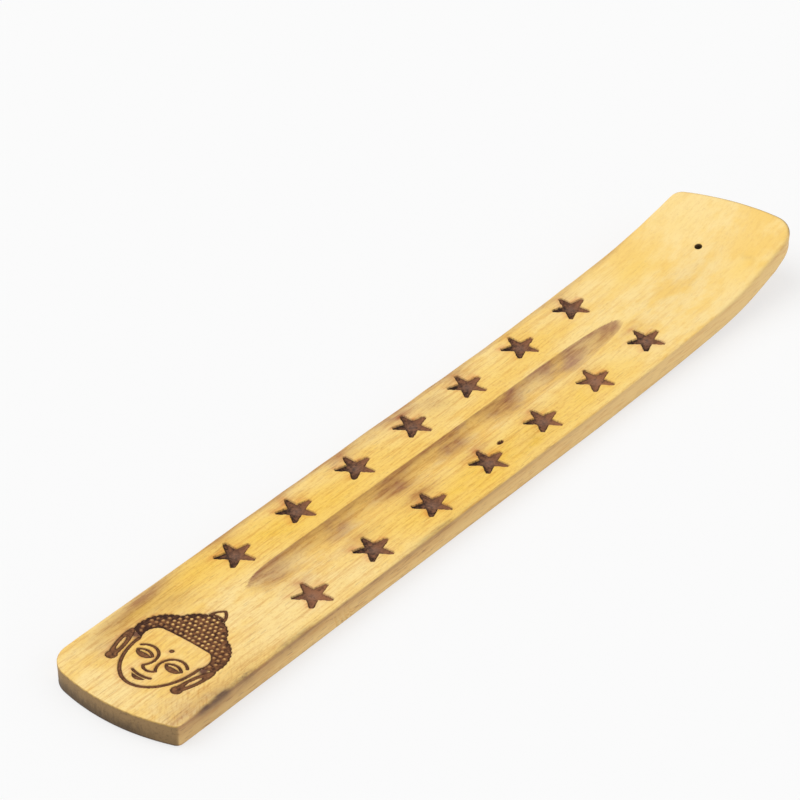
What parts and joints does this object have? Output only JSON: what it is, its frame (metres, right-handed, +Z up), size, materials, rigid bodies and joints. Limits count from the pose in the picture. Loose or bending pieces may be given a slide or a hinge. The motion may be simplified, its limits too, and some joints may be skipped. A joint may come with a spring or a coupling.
{
  "type": "incense stick holder",
  "caption": "Long thin wooden board, turned up at one end with a drilled hole that holds an incense stick over an ash groove, with hot-pressed stars and a head burnt into its top.",
  "frame": {"origin": "middle of the overall box, on the underside", "axes": "+X along the board towards the raised end with the stick hole, +Y to the left, +Z up"},
  "size_m": [0.254, 0.0404, 0.0159],
  "materials": {
    "board_wood": "smooth sanded pale hardwood with a thin yellow stain, fine straight grain",
    "star_char": "matt charred wood, pressed by a hot iron",
    "head_char": "matt scorched wood, lighter on the tops of the curls"
  },
  "bodies": {
    "root": {"board": "board_wood", "burnt_star_left_1": "star_char", "burnt_star_left_2": "star_char", "burnt_star_left_3": "star_char", "burnt_star_left_4": "star_char", "burnt_star_left_5": "star_char", "burnt_star_left_6": "star_char", "burnt_star_left_7": "star_char", "burnt_star_right_1": "star_char", "burnt_star_right_2": "star_char", "burnt_star_right_3": "star_char", "burnt_star_right_4": "star_char", "burnt_star_right_5": "star_char", "burnt_star_right_6": "star_char", "burnt_star_right_7": "star_char", "burnt_hair": "head_char", "burnt_face_lines": "head_char", "burnt_left_ear": "head_char", "burnt_right_ear": "head_char", "burnt_finial": "head_char"}
  },
  "joints": []
}
